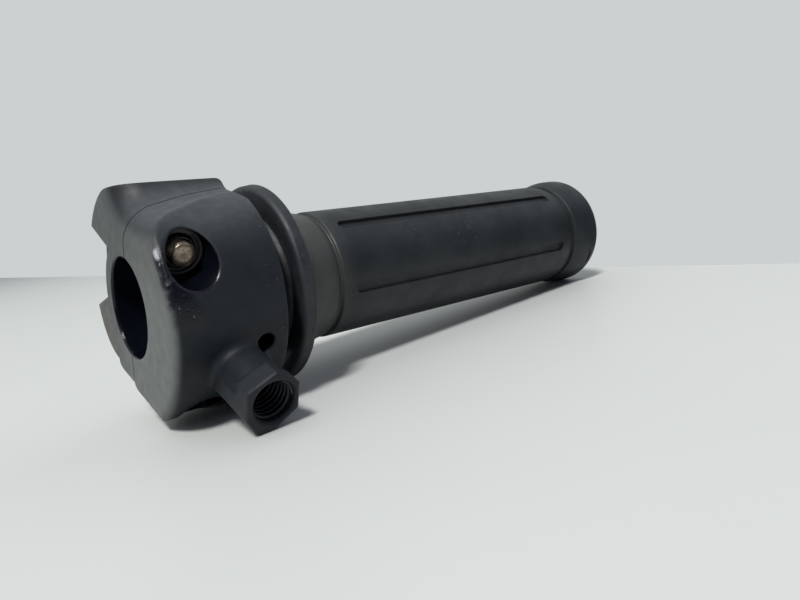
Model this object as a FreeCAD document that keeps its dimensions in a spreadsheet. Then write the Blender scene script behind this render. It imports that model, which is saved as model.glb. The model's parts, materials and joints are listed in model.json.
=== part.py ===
import FreeCAD, Part
import os
import re
import Sketcher

# Throttle twist grip for a 22.2 mm handlebar, in millimetres.
# X runs along the handlebar from the inboard face of the housing towards the free end of the grip.
# The origin is on the handlebar's centre line, in the plane of that inboard face.
# Every piece is drawn upright, with the housing's split plane at Y = 0 and the cable socket pointing
# along -Y, and is then rolled about X by lying_roll, the angle at which the grip comes to rest on a table.

OUT = "parts"
V = FreeCAD.Vector
doc = FreeCAD.newDocument("throttle_grip")
dims = doc.addObject("Spreadsheet::Sheet", "dims")

DIMENSIONS = {
    "lying_roll": 19.0,
    # housing, die cast in two halves
    "bar_radius": 11.1,
    "shell_length": 24.3,
    "front_radius": 24.65,
    "front_lean": 0.35,
    "front_drop": 0.25,
    "rear_radius": 25.5,
    "rear_rise": 0.3,
    "rear_edge": 0.5,
    "rear_rim": 2.6,
    "shell_edge": 1.8,
    "front_rim": 0.8,
    "cavity_start": 12.0,
    "cavity_end": 22.0,
    "cavity_radius": 18.8,
    "hub_opening": 16.0,
    "saddle_start": 13.9,
    "saddle_round": 8.0,
    "saddle_foot": 6.23,
    "saddle_foot_height": 21.68,
    "saddle_knee": 13.4,
    "saddle_knee_height": 23.2,
    "saddle_end_height": 24.05,
    "saddle_end_round": 3.0,
    "front_saddle_axis": 80.0,
    "rear_saddle_axis": 30.0,
    "bottom_round": 7.0,
    "front_bottom": 17.2,
    "rear_bottom": 16.0,
    "notch_depth": 3.6,
    "ring_radius": 14.5,
    "lip_round": 13.2,
    # cable socket on the front half
    "socket_along": 13.4,
    "socket_drop": 7.9,
    "socket_tilt": 3.0,
    "socket_neck_radius": 5.5,
    "socket_neck_length": 17.0,
    "socket_neck_round": 1.5,
    "socket_head_length": 4.9,
    "socket_face": 38.4,
    "socket_half_flats": 5.7,
    "socket_face_round": 0.5,
    "socket_bore": 4.32,
    "socket_depth": 10.5,
    "socket_mouth": 0.6,
    "wire_hole": 2.75,
    # small hole through the front wall
    "drain_along": 18.75,
    "drain_drop": 2.1,
    "drain_radius": 1.9,
    # clamp screws, M5
    "screw_radius": 2.5,
    "screw_clearance": 2.65,
    "screw_tip_bevel": 0.55,
    "head_radius": 4.1,
    "head_height": 3.3,
    "counterbore": 4.6,
    "recess_radius": 4.95,
    "upper_along": 6.5,
    "upper_height": 15.3,
    "upper_recess_floor": 12.4,
    "upper_seat": 13.2,
    "upper_screw_length": 30.0,
    "lower_along": 8.5,
    "lower_height": -19.2,
    "lower_recess_floor": 8.6,
    "lower_seat": 7.6,
    "lower_screw_length": 20.0,
    "washer_radius": 4.2,
    "washer_thickness": 0.8,
    "spring_thickness": 1.2,
    "insert_radius": 3.3,
    "insert_length": 7.0,
    "insert_stand": 0.9,
    # dowels between the halves
    "dowel_radius": 1.2,
    "dowel_reach": 3.0,
    "dowel_along": 17.0,
    "dowel_height": 21.5,
    # throttle tube
    "tube_bore": 11.3,
    "tube_radius": 13.0,
    "drum_start": 12.3,
    "groove_start": 12.9,
    "groove_end": 15.1,
    "drum_flange_end": 16.1,
    "drum_radius": 17.5,
    "groove_radius": 14.9,
    "hub_radius": 15.6,
    "keeper_start": 19.8,
    "keeper_end": 20.9,
    "flange_start": 28.9,
    "flange_end": 32.0,
    "flange_radius": 23.7,
    "tube_end": 144.2,
    "rib_height": 0.8,
    "rib_half_width": 1.0,
    "rib_start": 36.0,
    "rib_length": 104.0,
    "lug_half_angle": 12.0,
    "lug_rest_angle": -40.0,
    "twist_range": 80.0,
    "stop_clearance": 0.6,
    "stop_start": 16.4,
    "stop_end": 19.5,
    "stop_radius": 16.2,
    # rubber grip
    "grip_start": 32.05,
    "grip_end": 147.2,
    "grip_fit": 0.02,
    "grip_radius": 16.0,
    "bell_radius": 19.6,
    "waist_radius": 15.75,
    "waist_start": 42.6,
    "waist_groove": 0.55,
    "body_start": 44.4,
    "body_end": 133.4,
    "collar_start": 135.6,
    "collar_full": 141.5,
    "collar_radius": 17.2,
    "collar_round": 2.4,
    "nick_along": 143.4,
    "nick_half_width": 0.45,
    "nick_top": -1.7,
    "nick_bottom": -6.6,
    "nick_floor": 15.9,
    "slot_start": 49.7,
    "slot_end": 128.0,
    "slot_half_width": 1.45,
    "slot_floor": 15.1,
    "slot_angle": 25.1,
}


def fill_sheet():
    """Write one named dimension to each row of the sheet."""
    for row, (name, size) in enumerate(DIMENSIONS.items(), start=1):
        dims.set(f"A{row}", name)
        dims.set(f"B{row}", str(size))
        dims.setAlias(f"B{row}", name)
    doc.recompute()


def terms(text):
    """Split a sum such as 'flange_end - 0.5' into its signed terms."""
    return [term.strip() for term in text.replace("-", "+-").split("+") if term.strip()]


def minus(text):
    """The same sum with every sign turned, ready to follow another sum."""
    return " ".join("+ " + term[1:].strip() if term.startswith("-") else "- " + term for term in terms(text))


def amount(text):
    """The number that a sum of sheet names and plain numbers comes to."""
    total = 0.0
    for term in terms(text):
        sign = -1.0 if term.startswith("-") else 1.0
        word = term.lstrip("- ")
        total += sign * (DIMENSIONS[word] if word in DIMENSIONS else float(word))
    return total


def formula(text):
    """The same sum written so that it follows the sheet's cells."""
    return re.sub(r"[a-z][a-z_]*", lambda name: "dims." + name.group(0), text)


def new_body(name):
    body = doc.addObject("PartDesign::Body", name)
    body.Label = name
    return body


def origin_plane(body, role):
    return next(item for item in body.Origin.OriginFeatures if item.Role == role)


def new_sketch(body, name, role, offset="0"):
    """An empty sketch on one of the body's own origin planes, moved along the plane's normal."""
    sketch = body.newObject("Sketcher::SketchObject", name)
    sketch.AttachmentSupport = [(origin_plane(body, role), "")]
    sketch.MapMode = "FlatFace"
    sketch.AttachmentOffset = FreeCAD.Placement(V(0, 0, amount(offset)), FreeCAD.Rotation())
    sketch.setExpression("AttachmentOffset.Base.z", f"({formula(offset)}) * 1 mm")
    return sketch


def fix_length(sketch, kind, *where, size):
    """Add a dimension to the sketch and tie it to the sheet."""
    index = sketch.addConstraint(Sketcher.Constraint(kind, *where, amount(size)))
    sketch.setExpression(f"Constraints[{index}]", f"({formula(size)}) * 1 mm")


def fix_point(sketch, item, end, across, up):
    """Hold one end of a line or the centre of a circle at a place given by two sums."""
    for kind, axis, size in (("DistanceX", -2, across), ("DistanceY", -1, up)):
        if abs(amount(size)) < 1e-9:
            sketch.addConstraint(Sketcher.Constraint("PointOnObject", item, end, axis))
        else:
            fix_length(sketch, kind, item, end, size=size)


def draw_outline(sketch, points):
    """A closed outline. A point is (across, up), or (across, up, radius) where the stretch that leaves
    it is an arc, bulging to the left of the way there when the radius is written with a leading '<'."""
    places = [V(amount(point[0]), amount(point[1]), 0) for point in points]
    for index, point in enumerate(points):
        here = places[index]
        there = places[(index + 1) % len(points)]
        if len(point) == 2:
            sketch.addGeometry(Part.LineSegment(here, there), False)
            continue
        radius = amount(point[2].lstrip("<>"))
        side = 1.0 if point[2].startswith("<") else -1.0
        middle = (here + there) * 0.5
        chord = there - here
        normal = V(-chord.y, chord.x, 0).normalize()
        rise = radius - max(radius ** 2 - (chord.Length / 2) ** 2, 0.0) ** 0.5
        sketch.addGeometry(Part.Arc(here, middle + normal * rise * side, there), False)
    for index in range(len(points)):
        after = (index + 1) % len(points)
        ends = arc_ends(sketch, index, places[index])
        starts = arc_ends(sketch, after, places[after])
        sketch.addConstraint(Sketcher.Constraint("Coincident", index, ends[1], after, starts[0]))
    for index, point in enumerate(points):
        starts = arc_ends(sketch, index, places[index])
        fix_point(sketch, index, starts[0], point[0], point[1])
        if len(point) == 3:
            fix_length(sketch, "Radius", index, size=point[2].lstrip("<>"))


def arc_ends(sketch, index, start):
    """Which end of a piece of outline is its start: an arc may be stored the other way round."""
    first_end = sketch.getPoint(index, 1)
    return (1, 2) if first_end.distanceToPoint(start) < 1e-6 else (2, 1)


def outline_sketch(body, name, role, points, offset="0"):
    sketch = new_sketch(body, name, role, offset)
    draw_outline(sketch, points)
    return sketch


def circle_sketch(body, name, role, circles, offset="0"):
    """Circles, each given as (across, up, radius)."""
    sketch = new_sketch(body, name, role, offset)
    for index, (across, up, radius) in enumerate(circles):
        centre = V(amount(across), amount(up), 0)
        sketch.addGeometry(Part.Circle(centre, V(0, 0, 1), amount(radius)), False)
        fix_length(sketch, "Radius", index, size=radius)
        fix_point(sketch, index, 3, across, up)
    return sketch


def sweep_feature(body, kind, name, sketch, axis, angle="360", reverse=False):
    """A Revolution or a Groove of a sketch about one of the sketch's own axes."""
    feature = body.newObject(f"PartDesign::{kind}", name)
    feature.Profile = sketch
    feature.ReferenceAxis = (sketch, [axis])
    feature.Angle = amount(angle)
    feature.Reversed = reverse
    sketch.Visibility = False
    return feature


def straight_feature(body, kind, name, sketch, length, reverse=False):
    """A Pad or a Pocket of a sketch, as long as the sheet says."""
    feature = body.newObject(f"PartDesign::{kind}", name)
    feature.Profile = sketch
    feature.Length = amount(length)
    feature.setExpression("Length", f"({formula(length)}) * 1 mm")
    feature.Reversed = reverse
    return feature


def cut(body, kind, name, *arguments, **options):
    """Add a Pocket or a Groove and make sure that it takes something away."""
    doc.recompute()
    before = body.Shape.Volume
    maker = sweep_feature if kind == "Groove" else straight_feature
    feature = maker(body, kind, name, *arguments, **options)
    doc.recompute()
    if body.Shape.Volume > before - 1e-3:
        raise RuntimeError(f"{name} on {body.Label} cuts nothing")
    return feature


def dress(body, kind, name, size, wanted):
    """A Fillet or a Chamfer on the edges that the test picks out."""
    doc.recompute()
    base = body.Tip
    picked = [f"Edge{n}" for n, edge in enumerate(base.Shape.Edges, start=1) if wanted(edge)]
    if not picked:
        raise RuntimeError(f"{name} on {body.Label} finds no edge")
    feature = body.newObject(f"PartDesign::{kind}", name)
    feature.Base = (base, picked)
    prop = "Radius" if kind == "Fillet" else "Size"
    setattr(feature, prop, amount(size))
    feature.setExpression(prop, f"({formula(size)}) * 1 mm")
    doc.recompute()
    return feature


def repeat_round(body, name, feature, count):
    """Repeat a feature evenly about the handlebar's centre line."""
    pattern = body.newObject("PartDesign::PolarPattern", name)
    pattern.Originals = [feature]
    pattern.Axis = (origin_plane(body, "X_Axis"), [""])
    pattern.Angle = 360
    pattern.Occurrences = count
    body.Tip = pattern
    return pattern


def place(body, along="0", height="0"):
    """Roll a piece to the angle at which the grip lies, after moving it along X and Z."""
    roll = "dims.lying_roll * 1 deg"
    body.Placement = FreeCAD.Placement(V(0, 0, 0), FreeCAD.Rotation(V(1, 0, 0), amount("lying_roll")))
    body.setExpression("Placement.Rotation.Angle", roll)
    body.setExpression("Placement.Base.x", f"({formula(along)}) * 1 mm")
    body.setExpression("Placement.Base.y", f"-({formula(height)}) * sin({roll}) * 1 mm")
    body.setExpression("Placement.Base.z", f"({formula(height)}) * cos({roll}) * 1 mm")


# ---------------------------------------------------------------- housing


def shell_blank(body, radius, edge, rim, centre, lean="0"):
    """The solid from which one half is cut: a drum with a softened edge inboard and a rim outboard."""
    top = f"{radius} + {centre}".replace("+ -", "- ")
    outline = [
        ("0", centre),
        ("0", f"{top} - {edge}", "<" + edge),
        (edge, top),
        (f"shell_length - {rim}", top, "<" + rim),
        ("shell_length", f"{top} - {rim}"),
        ("shell_length", centre),
    ]
    sketch = outline_sketch(body, "drum_outline", "XZ_Plane", outline, offset=lean)
    axis = straight_axis(sketch, centre)
    sweep_feature(body, "Revolution", "drum", sketch, axis)
    doc.recompute()


def straight_axis(sketch, height):
    """A construction line along X at a height, to turn a sketch about."""
    level = amount(height)
    line = sketch.addGeometry(Part.LineSegment(V(-5, level, 0), V(30, level, 0)), True)
    sketch.addConstraint(Sketcher.Constraint("Horizontal", line))
    if abs(level) < 1e-9:
        return "H_Axis"
    fix_length(sketch, "DistanceY", line, 1, size=height)
    return "Axis0"


def keep_half(body, front):
    """Cut away everything on the other side of the split plane."""
    far = "40"
    box = [("-5", "-" + far), (far, "-" + far), (far, far), ("-5", far)]
    sketch = outline_sketch(body, "split_plane", "XZ_Plane", box)
    cut(body, "Pocket", "other_half", sketch, far, reverse=not front)


def hollow(body):
    """The handlebar's bore, the drum's chamber and the opening for the tube's hub."""
    bore = circle_sketch(body, "bar_circle", "YZ_Plane", [("0", "0", "bar_radius")])
    cut(body, "Pocket", "bar_bore", bore, "cavity_start + 1", reverse=True)
    chamber = [
        ("cavity_start", "0"),
        ("cavity_end", "0"),
        ("cavity_end", "cavity_radius"),
        ("cavity_start", "cavity_radius"),
    ]
    outline = outline_sketch(body, "chamber_outline", "XZ_Plane", chamber)
    cut(body, "Groove", "chamber", outline, "H_Axis")
    opening = circle_sketch(body, "hub_circle", "YZ_Plane", [("0", "0", "hub_opening")], offset="cavity_end - 1")
    cut(body, "Pocket", "hub_opening", opening, "shell_length - cavity_end + 2", reverse=True)


def saddle(body, axis_height):
    """The dip over the seam: a long slope that rounds over into the inboard face."""
    outline = [
        ("-1", "saddle_start"),
        ("0", "saddle_start", "<saddle_round"),
        ("saddle_foot", "saddle_foot_height"),
        ("saddle_knee", "saddle_knee_height"),
        ("shell_length - saddle_end_round", "saddle_end_height", "<saddle_end_round"),
        ("shell_length", "saddle_end_height - saddle_end_round"),
        ("shell_length + 2", "saddle_end_height - saddle_end_round"),
        ("shell_length + 2", axis_height),
        ("-1", axis_height),
    ]
    sketch = outline_sketch(body, "saddle_outline", "XZ_Plane", outline)
    cut(body, "Groove", "saddle", sketch, straight_axis(sketch, axis_height))


def flat_bottom(body, level, front):
    """The inboard face stops at a flat bottom, which rounds down to the full drum."""
    outline = [
        ("-1", f"-{level}"),
        ("0", f"-{level}", ">bottom_round"),
        ("bottom_round", f"-{level} - bottom_round"),
        ("bottom_round", "-30"),
        ("-1", "-30"),
    ]
    sketch = outline_sketch(body, "bottom_outline", "XZ_Plane", outline, offset="30" if front else "-30")
    cut(body, "Pocket", "bottom", sketch, "31", reverse=not front)


def across_hole(body, name, along, height, radius, start, end):
    """A round hole parallel to Y between two distances from the split plane, out first."""
    front = amount(start) > 0
    sketch = circle_sketch(body, name + "_circle", "XZ_Plane", [(along, height, radius)], offset=start)
    length = f"{start} {minus(end)}" if front else f"{end} {minus(start)}"
    cut(body, "Pocket", name, sketch, length, reverse=not front)


def dowel_holes(body, front):
    start = "dowel_reach" if front else "-dowel_reach"
    for name, height in (("upper", "dowel_height"), ("lower", "-dowel_height")):
        across_hole(body, f"{name}_dowel_hole", "dowel_along", height, "dowel_radius", start, "0")


def socket_sketch(body, name, back, circle=None, outline=None):
    """A sketch square to the socket's tilted axis, a distance back from the socket's outer face."""
    sketch = new_sketch(body, name, "XZ_Plane")
    turn = FreeCAD.Rotation(V(1, 0, 0), amount("socket_tilt"))
    outward = turn.multVec(V(0, 0, 1))
    face = V(amount("socket_along"), amount("-socket_drop"), amount("socket_face"))
    sketch.AttachmentOffset = FreeCAD.Placement(face - outward * amount(back), turn)
    tilt = "dims.socket_tilt * 1 deg"
    sketch.setExpression("AttachmentOffset.Base.x", "dims.socket_along * 1 mm")
    sketch.setExpression("AttachmentOffset.Base.y", f"(({formula(back)}) * sin({tilt}) - dims.socket_drop) * 1 mm")
    sketch.setExpression("AttachmentOffset.Base.z", f"(dims.socket_face - ({formula(back)}) * cos({tilt})) * 1 mm")
    sketch.setExpression("AttachmentOffset.Rotation.Angle", tilt)
    if circle:
        sketch.addGeometry(Part.Circle(V(0, 0, 0), V(0, 0, 1), amount(circle)), False)
        fix_length(sketch, "Radius", 0, size=circle)
        fix_point(sketch, 0, 3, "0", "0")
    else:
        draw_outline(sketch, outline)
    return sketch


def socket_distance(point):
    """How far a point of the undrawn, upright housing is behind the socket's face, and off its axis."""
    turn = FreeCAD.Rotation(V(1, 0, 0), amount("socket_tilt"))
    outward = turn.multVec(V(0, -1, 0))
    face = V(amount("socket_along"), -amount("socket_face"), amount("-socket_drop"))
    gap = point - face
    back = -gap.dot(outward)
    return back, (gap + outward * back).Length


def cable_socket(body):
    """A round neck with a rib below it and a head with flats, bored for the cable's threaded end."""
    head_back = "socket_head_length"
    neck = socket_sketch(body, "neck_circle", "socket_neck_length", circle="socket_neck_radius")
    straight_feature(body, "Pad", "socket_neck", neck, "socket_neck_length - socket_head_length + 0.5")
    doc.recompute()

    def neck_root(edge):
        places = [socket_distance(vertex.Point) for vertex in edge.Vertexes]
        on_neck = all(abs(off - amount("socket_neck_radius")) < 0.02 for _, off in places)
        return on_neck and all(back > amount("socket_head_length") + 1 for back, _ in places) and edge.Length > 3

    dress(body, "Fillet", "neck_root", "socket_neck_round", neck_root)
    half = "socket_half_flats"
    rib = [
        ("0", "0"),
        (f"-{half}", "1"),
        (f"-{half}", "-2.7"),
        ("-3.6", f"-{half} - 0.4"),
        ("-0.4", f"-{half} - 0.7"),
    ]
    sketch = socket_sketch(body, "rib_outline", "socket_neck_length - 1", outline=rib)
    straight_feature(body, "Pad", "socket_rib", sketch, "socket_neck_length - socket_head_length")
    doc.recompute()
    head = [
        (f"{half} - 0.5", "-2.6"),
        (f"{half} - 0.5", "2.9"),
        ("0.3", f"{half} + 0.8"),
        (f"-{half}", "3.5"),
        (f"-{half}", "-2.7"),
        ("-3.6", f"-{half} - 0.6"),
        ("-0.4", f"-{half} - 0.9"),
    ]
    sketch = socket_sketch(body, "head_outline", head_back, outline=head)
    straight_feature(body, "Pad", "socket_head", sketch, head_back)
    doc.recompute()

    dress(body, "Fillet", "head_face", "socket_face_round", on_socket_face)
    bore = socket_sketch(body, "socket_bore_circle", "-1", circle="socket_bore")
    cut(body, "Pocket", "socket_bore", bore, "socket_depth + 1")
    dress(body, "Chamfer", "socket_mouth", "socket_mouth", lambda edge: on_socket_face(edge, "socket_bore"))
    wire = socket_sketch(body, "wire_circle", "0", circle="wire_hole")
    cut(body, "Pocket", "wire_hole", wire, "socket_face - 12")


def on_socket_face(edge, radius=None):
    """Whether an edge lies in the socket's outer face, and at a radius if one is asked for."""
    places = [socket_distance(vertex.Point) for vertex in edge.Vertexes]
    if any(abs(back) > 0.01 for back, _ in places):
        return False
    return radius is None or abs(places[0][1] - amount(radius)) < 0.01


def front_recesses(body):
    """Where each clamp screw comes through: a deep round recess, an insert's seat and a clear hole."""
    for side in ("upper", "lower"):
        floor = f"{side}_recess_floor"
        place_of = (f"{side}_along", f"{side}_height")
        across_hole(body, f"{side}_recess", *place_of, "recess_radius", "30", floor)
        across_hole(body, f"{side}_insert_seat", *place_of, "insert_radius", floor, f"{floor} - insert_length")
        across_hole(body, f"{side}_screw_hole", *place_of, "screw_clearance", floor, "0")


def housing_front():
    body = new_body("housing_front")
    shell_blank(body, "front_radius", "shell_edge", "front_rim", "-front_drop", lean="front_lean")
    keep_half(body, front=True)
    saddle(body, "front_saddle_axis")
    flat_bottom(body, "front_bottom", front=True)
    cable_socket(body)
    hollow(body)
    front_recesses(body)
    drain = ("drain_along", "-drain_drop", "drain_radius")
    across_hole(body, "drain_hole", *drain, "30", "12")
    dowel_holes(body, front=True)
    place(body)
    return body


def rear_notch(body):
    """An open notch behind the bore, which leaves a thin ring, a horn above and a lip below."""
    notch = [
        ("10.3", "10.2"),
        ("27", "13.2"),
        ("27", "-9.9"),
        ("14.3", "-2.4", ">ring_radius"),
    ]
    sketch = outline_sketch(body, "notch_outline", "YZ_Plane", notch)
    cut(body, "Pocket", "notch", sketch, "notch_depth", reverse=True)
    lip = [
        ("9.7", "-rear_bottom", ">lip_round"),
        ("22.9", "-3.2"),
        ("27", "-3.2"),
        ("27", "-27"),
        ("9.7", "-27"),
    ]
    sketch = outline_sketch(body, "lip_outline", "YZ_Plane", lip)
    cut(body, "Pocket", "lip", sketch, "notch_depth + 0.8", reverse=True)


def stop_blocks(body):
    """Two blocks inside the rear half that meet the lug of the tube at each end of its travel."""
    half_gap = amount("lug_half_angle + stop_clearance") + amount("twist_range") / 2
    for name, sign in (("open", 1.0), ("closed", -1.0)):
        angle = FreeCAD.Rotation(V(0, 0, 1), sign * half_gap)
        near = angle.multVec(V(amount("stop_radius"), 0, 0))
        far = angle.multVec(V(amount("cavity_radius") + 1.0, 0, 0))
        inner = f"{near.x:.3f}"
        block = [
            (inner, f"{near.y:.3f}"),
            (f"{far.x:.3f}", f"{far.y:.3f}"),
            (f"{far.x - 5:.3f}", f"{far.y + sign * 4.5:.3f}"),
            (f"{near.x - 5:.3f}", f"{near.y + sign * 3.4:.3f}"),
        ]
        sketch = outline_sketch(body, f"{name}_stop_outline", "YZ_Plane", block, offset="stop_start")
        straight_feature(body, "Pad", f"{name}_stop", sketch, "stop_end - stop_start")
        doc.recompute()


def rear_seats(body):
    """A counterbore for each screw head and a clear hole for its shank."""
    for side in ("upper", "lower"):
        place_of = (f"{side}_along", f"{side}_height")
        seat = f"0 - {side}_seat"
        across_hole(body, f"{side}_counterbore", *place_of, "counterbore", "-30", seat)
        across_hole(body, f"{side}_screw_hole", *place_of, "screw_clearance", "-29", "0")


def housing_rear():
    body = new_body("housing_rear")
    shell_blank(body, "rear_radius", "rear_edge", "rear_rim", "rear_rise")
    keep_half(body, front=False)
    saddle(body, "rear_saddle_axis")
    flat_bottom(body, "rear_bottom", front=False)
    rear_notch(body)
    hollow(body)
    stop_blocks(body)
    rear_seats(body)
    dowel_holes(body, front=False)
    place(body)
    return body


# ---------------------------------------------------------------- throttle tube and rubber grip


def stop_lug(body):
    """A block on the hub, joined to the drum on one side and to the keeper flange on the other."""
    rest = amount("lug_rest_angle")
    half = amount("lug_half_angle")
    corners = []
    for radius in ("hub_radius - 0.6", "drum_radius"):
        for sign in (-1.0, 1.0):
            turn = FreeCAD.Rotation(V(0, 0, 1), rest + sign * half)
            corners.append(turn.multVec(V(amount(radius), 0, 0)))
    order = (corners[0], corners[1], corners[3], corners[2])
    block = [(f"{corner.x:.3f}", f"{corner.y:.3f}") for corner in order]
    sketch = outline_sketch(body, "lug_outline", "YZ_Plane", block, offset="drum_flange_end - 0.2")
    straight_feature(body, "Pad", "stop_lug", sketch, "keeper_start - drum_flange_end + 0.4")
    doc.recompute()


def throttle_tube():
    body = new_body("throttle_tube")
    profile = [
        ("drum_start", "tube_bore"),
        ("tube_end", "tube_bore"),
        ("tube_end", "tube_radius"),
        ("flange_end", "tube_radius"),
        ("flange_end", "flange_radius - 0.5", ">0.5"),
        ("flange_end - 0.5", "flange_radius"),
        ("flange_start + 1.2", "flange_radius - 0.2", ">1.2"),
        ("flange_start", "flange_radius - 1.4"),
        ("flange_start", "flange_radius - 3"),
        ("flange_start + 1", "hub_radius + 1.5", ">1.8"),
        ("flange_start - 0.5", "hub_radius"),
        ("keeper_end", "hub_radius"),
        ("keeper_end", "drum_radius"),
        ("keeper_start", "drum_radius"),
        ("keeper_start", "hub_radius"),
        ("drum_flange_end", "hub_radius"),
        ("drum_flange_end", "drum_radius"),
        ("groove_end", "drum_radius"),
        ("groove_end", "groove_radius + 0.3", "<1.25"),
        ("groove_start", "groove_radius + 0.3"),
        ("groove_start", "drum_radius"),
        ("drum_start", "drum_radius"),
    ]
    sketch = outline_sketch(body, "profile", "XZ_Plane", profile)
    sweep_feature(body, "Revolution", "turned_shape", sketch, "H_Axis")
    doc.recompute()
    stop_lug(body)
    nipple = circle_sketch(body, "nipple_circle", "YZ_Plane", [("1.3", "-15.3", "2.2")])
    cut(body, "Pocket", "nipple_pocket", nipple, "groove_end", reverse=True)
    across = "rib_half_width"
    top = "tube_radius + rib_height"
    rib = [(f"-{across}", "tube_radius - 0.8"), (across, "tube_radius - 0.8"), (across, top), (f"-{across}", top)]
    sketch = outline_sketch(body, "rib_outline", "YZ_Plane", rib, offset="rib_start")
    ribs = straight_feature(body, "Pad", "rib", sketch, "rib_length")
    doc.recompute()
    repeat_round(body, "ribs", ribs, 6)
    place(body)
    return body


def rubber_grip():
    body = new_body("rubber_grip")
    profile = [
        ("grip_start", "tube_radius + grip_fit"),
        ("tube_end + 0.05", "tube_radius + grip_fit"),
        ("tube_end + 0.05", "tube_bore + 0.3"),
        ("grip_end", "tube_bore + 0.3"),
        ("grip_end", "collar_radius - collar_round", ">collar_round"),
        ("grip_end - collar_round", "collar_radius"),
        ("collar_full", "collar_radius", ">16"),
        ("collar_start + 0.6", "grip_radius + 0.1", ">0.6"),
        ("collar_start", "grip_radius - 0.5"),
        ("collar_start", "grip_radius - 0.8"),
        ("body_end + 0.1", "grip_radius - 0.8"),
        ("body_end", "grip_radius - 0.7", ">0.7"),
        ("body_end - 0.7", "grip_radius"),
        ("body_start + 0.6", "grip_radius", ">0.6"),
        ("body_start", "grip_radius - 0.6"),
        ("body_start - 0.3", "waist_radius - waist_groove"),
        ("waist_start", "waist_radius", "<24"),
        ("grip_start + 0.8", "bell_radius", ">0.8"),
        ("grip_start", "bell_radius - 0.8"),
    ]
    sketch = outline_sketch(body, "profile", "XZ_Plane", profile)
    sweep_feature(body, "Revolution", "moulded_shape", sketch, "H_Axis")
    doc.recompute()
    across = "rib_half_width + grip_fit"
    top = "tube_radius + rib_height + grip_fit"
    low = "tube_radius - 1"
    rib = [(minus(across), low), (across, low), (across, top), (minus(across), top)]
    sketch = outline_sketch(body, "rib_seat_outline", "YZ_Plane", rib, offset="rib_start - grip_fit")
    seat = cut(body, "Pocket", "rib_seat", sketch, "rib_length + grip_fit + grip_fit", reverse=True)
    repeat_round(body, "rib_seats", seat, 6)
    grip_slots(body)
    nick = [
        ("nick_along - nick_half_width", "nick_bottom"),
        ("nick_along + nick_half_width", "nick_bottom"),
        ("nick_along + nick_half_width", "nick_top"),
        ("nick_along - nick_half_width", "nick_top"),
    ]
    sketch = outline_sketch(body, "nick_outline", "XZ_Plane", nick, offset="18")
    cut(body, "Pocket", "collar_nick", sketch, "18 - nick_floor")
    place(body)
    return body


def grip_slots(body):
    """Six long shallow slots with round ends."""
    wide = "slot_half_width"
    outline = [
        ("slot_start", f"-{wide}"),
        ("slot_end", f"-{wide}", ">" + wide),
        (f"slot_end + {wide}", "0", ">" + wide),
        ("slot_end", wide),
        ("slot_start", wide, ">" + wide),
        (f"slot_start - {wide}", "0", ">" + wide),
    ]
    sketch = outline_sketch(body, "slot_outline", "XY_Plane", outline, offset="grip_radius + 2")
    turn = FreeCAD.Rotation(V(1, 0, 0), amount("slot_angle"))
    lift = turn.multVec(V(0, 0, amount("grip_radius + 2")))
    sketch.setExpression("AttachmentOffset.Base.z", None)
    sketch.AttachmentOffset = FreeCAD.Placement(lift, turn)
    slot = cut(body, "Pocket", "slot", sketch, "grip_radius + 2 - slot_floor")
    repeat_round(body, "slots", slot, 6)


# ---------------------------------------------------------------- screws and small pieces


def clamp_screw(side):
    """A pan-head screw, drawn along Y with the underside of its head at the washers' height."""
    body = new_body(f"clamp_screw_{side}")
    under = f"{side}_seat + washer_thickness + spring_thickness"
    tip = f"{under} - {side}_screw_length"
    profile = [
        ("0", f"{under} + head_height"),
        ("0", tip),
        ("screw_radius - screw_tip_bevel", tip),
        ("screw_radius", f"{tip} + screw_tip_bevel"),
        ("screw_radius", under),
        ("head_radius", under),
        ("head_radius", f"{under} + head_height - 1.6", ">1.6"),
        ("head_radius - 1.6", f"{under} + head_height"),
    ]
    sketch = outline_sketch(body, "profile", "XY_Plane", profile)
    sweep_feature(body, "Revolution", "turned_shape", sketch, "V_Axis")
    for name, wide, tall in (("drive_slot", "2.3", "0.55"), ("cross_slot", "0.55", "2.3")):
        arm = [(f"-{wide}", f"-{tall}"), (wide, f"-{tall}"), (wide, tall), (f"-{wide}", tall)]
        slot = outline_sketch(body, name + "_outline", "XZ_Plane", arm, offset=f"0 - {side}_seat - 6")
        cut(body, "Pocket", name, slot, "2.6", reverse=True)
    place(body, f"{side}_along", f"{side}_height")
    return body


def ring(name, inner, outer, near, thickness, along, height):
    """A flat ring square to Y, with its near face at a distance behind the split plane."""
    body = new_body(name)
    circles = [("0", "0", outer), ("0", "0", inner)]
    sketch = circle_sketch(body, "circles", "XZ_Plane", circles, offset=minus(near))
    straight_feature(body, "Pad", "ring", sketch, thickness, reverse=True)
    place(body, along, height)
    return body


def flat_washer(side):
    name = f"flat_washer_{side}"
    place_of = (f"{side}_along", f"{side}_height")
    return ring(name, "screw_clearance", "washer_radius", f"{side}_seat", "washer_thickness", *place_of)


def spring_washer(side):
    """A split ring under the screw's head."""
    name = f"spring_washer_{side}"
    near = f"{side}_seat + washer_thickness"
    place_of = (f"{side}_along", f"{side}_height")
    body = ring(name, "screw_clearance", "head_radius", near, "spring_thickness", *place_of)
    gap = [("0", "-0.4"), ("6", "0.1"), ("6", "0.9"), ("0", "0.4")]
    sketch = outline_sketch(body, "gap_outline", "XZ_Plane", gap, offset="-30")
    cut(body, "Pocket", "gap", sketch, "60", reverse=True)
    return body


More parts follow.
